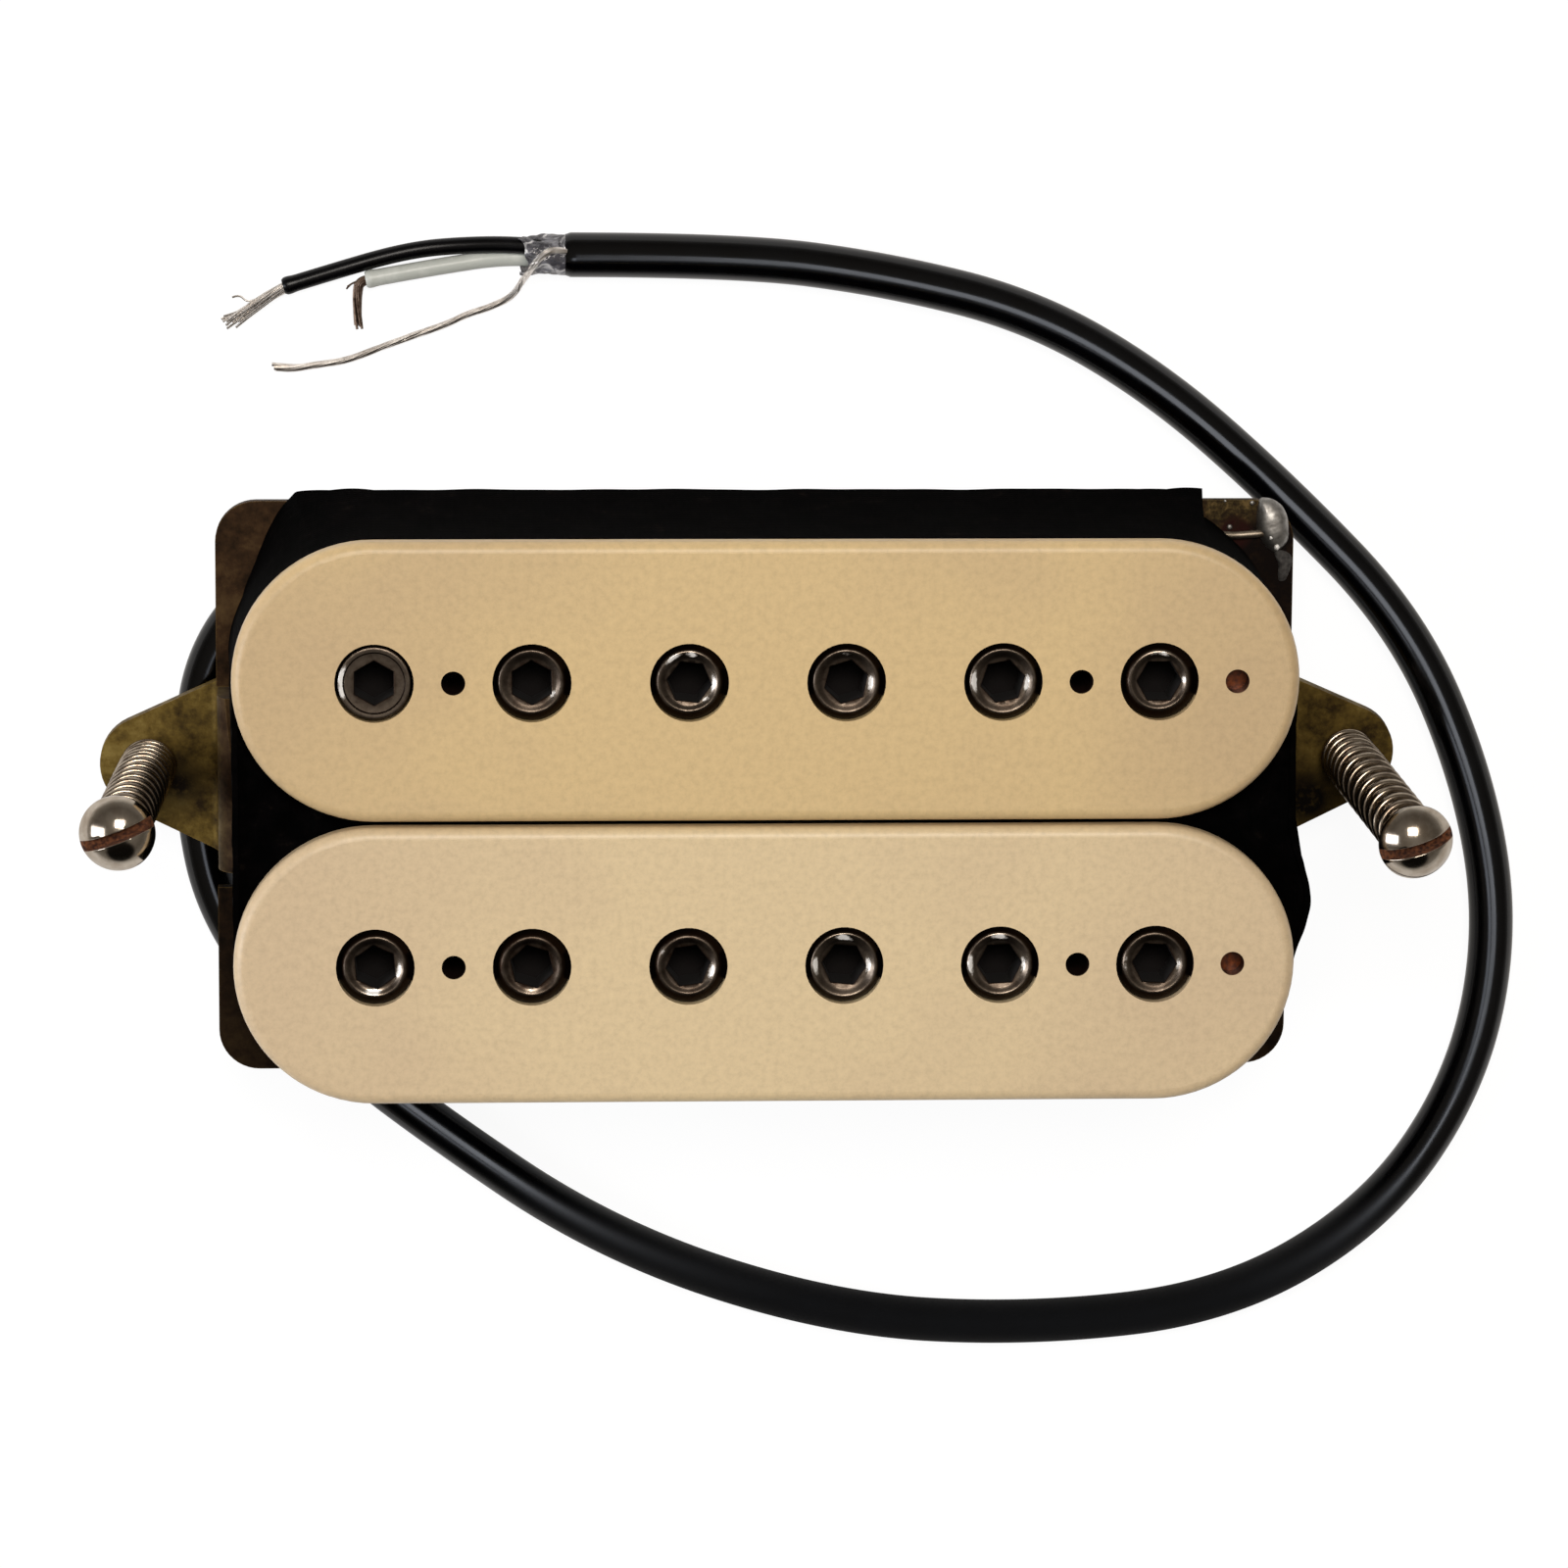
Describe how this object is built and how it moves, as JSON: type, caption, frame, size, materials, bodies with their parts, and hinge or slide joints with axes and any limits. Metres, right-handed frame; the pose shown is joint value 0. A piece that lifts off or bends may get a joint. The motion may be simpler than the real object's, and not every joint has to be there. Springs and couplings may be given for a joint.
{
  "type": "guitar pickup",
  "caption": "Two-coil guitar pickup with adjustable pole screws, sprung height screws and a screened lead, for a mounting ring.",
  "frame": {"origin": "centre of the baseplate's underside", "axes": "+X along the rows of poles, +Y across them towards the soldered corner, +Z towards the strings"},
  "size_m": [0.0934, 0.074, 0.0245],
  "materials": {
    "tarnished_brass": "tarnished, satin",
    "ceramic_magnet": "matte",
    "bar_steel": "satin",
    "cream_plastic": "satin",
    "enamelled_copper": "glossy enamel",
    "black_tape": "matte",
    "bright_brass": "satin",
    "black_sleeve": "matte",
    "black_insulation": "satin",
    "white_insulation": "satin",
    "tinned_copper": "dull bright",
    "solder": "dull bright",
    "black_jacket": "glossy",
    "clear_film": "glossy",
    "tarnished_copper": "oxidised",
    "blackened_steel": "oiled black",
    "nickel_plate": "polished",
    "spring_steel": "bright"
  },
  "bodies": {
    "pickup": {"baseplate": "tarnished_brass", "magnet": "ceramic_magnet", "keeper_bar_back": "bar_steel", "keeper_bar_front": "bar_steel", "bobbin_back": "cream_plastic", "bobbin_front": "cream_plastic", "coil_back": "enamelled_copper", "coil_front": "enamelled_copper", "coil_tape_back": "black_tape", "coil_tape_front": "black_tape", "outer_tape": "black_tape", "bobbin_screws": "bright_brass", "splice_sleeves": "black_sleeve", "inner_black_wire": "black_insulation", "inner_white_wire": "white_insulation", "ground_wire": "tinned_copper", "ground_solder": "solder", "lead_jacket": "black_jacket", "lead_wrap": "clear_film", "lead_black_core": "black_insulation", "lead_black_strands": "tinned_copper", "lead_white_core": "white_insulation", "lead_white_strands": "tarnished_copper", "lead_drain_wire": "tinned_copper"},
    "pole_screw_back_1": {"pole_screw_back_1": "blackened_steel"},
    "pole_screw_back_2": {"pole_screw_back_2": "blackened_steel"},
    "pole_screw_back_3": {"pole_screw_back_3": "blackened_steel"},
    "pole_screw_back_4": {"pole_screw_back_4": "blackened_steel"},
    "pole_screw_back_5": {"pole_screw_back_5": "blackened_steel"},
    "pole_screw_back_6": {"pole_screw_back_6": "blackened_steel"},
    "pole_screw_front_1": {"pole_screw_front_1": "blackened_steel"},
    "pole_screw_front_2": {"pole_screw_front_2": "blackened_steel"},
    "pole_screw_front_3": {"pole_screw_front_3": "blackened_steel"},
    "pole_screw_front_4": {"pole_screw_front_4": "blackened_steel"},
    "pole_screw_front_5": {"pole_screw_front_5": "blackened_steel"},
    "pole_screw_front_6": {"pole_screw_front_6": "blackened_steel"},
    "height_spring_left": {"height_spring_left": "spring_steel"},
    "height_screw_left": {"height_screw_left": "nickel_plate"},
    "height_spring_right": {"height_spring_right": "spring_steel"},
    "height_screw_right": {"height_screw_right": "nickel_plate"}
  },
  "joints": [
    {"name": "pole_screw_back_1_height", "type": "slide", "parent": "pickup", "child": "pole_screw_back_1", "axis": [0, 0, 1], "range_m": [-0.00159, 0.00238]},
    {"name": "pole_screw_back_2_height", "type": "slide", "parent": "pickup", "child": "pole_screw_back_2", "axis": [0, 0, 1], "range_m": [-0.00159, 0.00238]},
    {"name": "pole_screw_back_3_height", "type": "slide", "parent": "pickup", "child": "pole_screw_back_3", "axis": [0, 0, 1], "range_m": [-0.00159, 0.00238]},
    {"name": "pole_screw_back_4_height", "type": "slide", "parent": "pickup", "child": "pole_screw_back_4", "axis": [0, 0, 1], "range_m": [-0.00159, 0.00238]},
    {"name": "pole_screw_back_5_height", "type": "slide", "parent": "pickup", "child": "pole_screw_back_5", "axis": [0, 0, 1], "range_m": [-0.00159, 0.00238]},
    {"name": "pole_screw_back_6_height", "type": "slide", "parent": "pickup", "child": "pole_screw_back_6", "axis": [0, 0, 1], "range_m": [-0.00159, 0.00238]},
    {"name": "pole_screw_front_1_height", "type": "slide", "parent": "pickup", "child": "pole_screw_front_1", "axis": [0, 0, 1], "range_m": [-0.00159, 0.00238]},
    {"name": "pole_screw_front_2_height", "type": "slide", "parent": "pickup", "child": "pole_screw_front_2", "axis": [0, 0, 1], "range_m": [-0.00159, 0.00238]},
    {"name": "pole_screw_front_3_height", "type": "slide", "parent": "pickup", "child": "pole_screw_front_3", "axis": [0, 0, 1], "range_m": [-0.00159, 0.00238]},
    {"name": "pole_screw_front_4_height", "type": "slide", "parent": "pickup", "child": "pole_screw_front_4", "axis": [0, 0, 1], "range_m": [-0.00159, 0.00238]},
    {"name": "pole_screw_front_5_height", "type": "slide", "parent": "pickup", "child": "pole_screw_front_5", "axis": [0, 0, 1], "range_m": [-0.00159, 0.00238]},
    {"name": "pole_screw_front_6_height", "type": "slide", "parent": "pickup", "child": "pole_screw_front_6", "axis": [0, 0, 1], "range_m": [-0.00159, 0.00238]},
    {"name": "height_screw_left_travel", "type": "slide", "parent": "pickup", "child": "height_spring_left", "axis": [0.0698, 0.0609, -0.9957], "range_m": [0, 0.00953], "deforming": ["height_spring_left"]},
    {"name": "height_screw_left_turn", "type": "hinge", "parent": "height_spring_left", "child": "height_screw_left", "pos_m": [-0.03895, 0.00038, -0.00539], "axis": [0.0698, 0.0609, -0.9957], "range_deg": [0, 6481]},
    {"name": "height_screw_right_travel", "type": "slide", "parent": "pickup", "child": "height_spring_right", "axis": [-0.1045, 0.1384, -0.9848], "range_m": [0, 0.00953], "deforming": ["height_spring_right"]},
    {"name": "height_screw_right_turn", "type": "hinge", "parent": "height_spring_right", "child": "height_screw_right", "pos_m": [0.03895, 0.00088, -0.00534], "axis": [-0.1045, 0.1384, -0.9848], "range_deg": [0, 6481]}
  ],
  "couplings": [
    {"joint": "height_screw_left_turn", "follows": "height_screw_left_travel", "rad_per_m": 11874},
    {"joint": "height_screw_right_turn", "follows": "height_screw_right_travel", "rad_per_m": 11874}
  ]
}
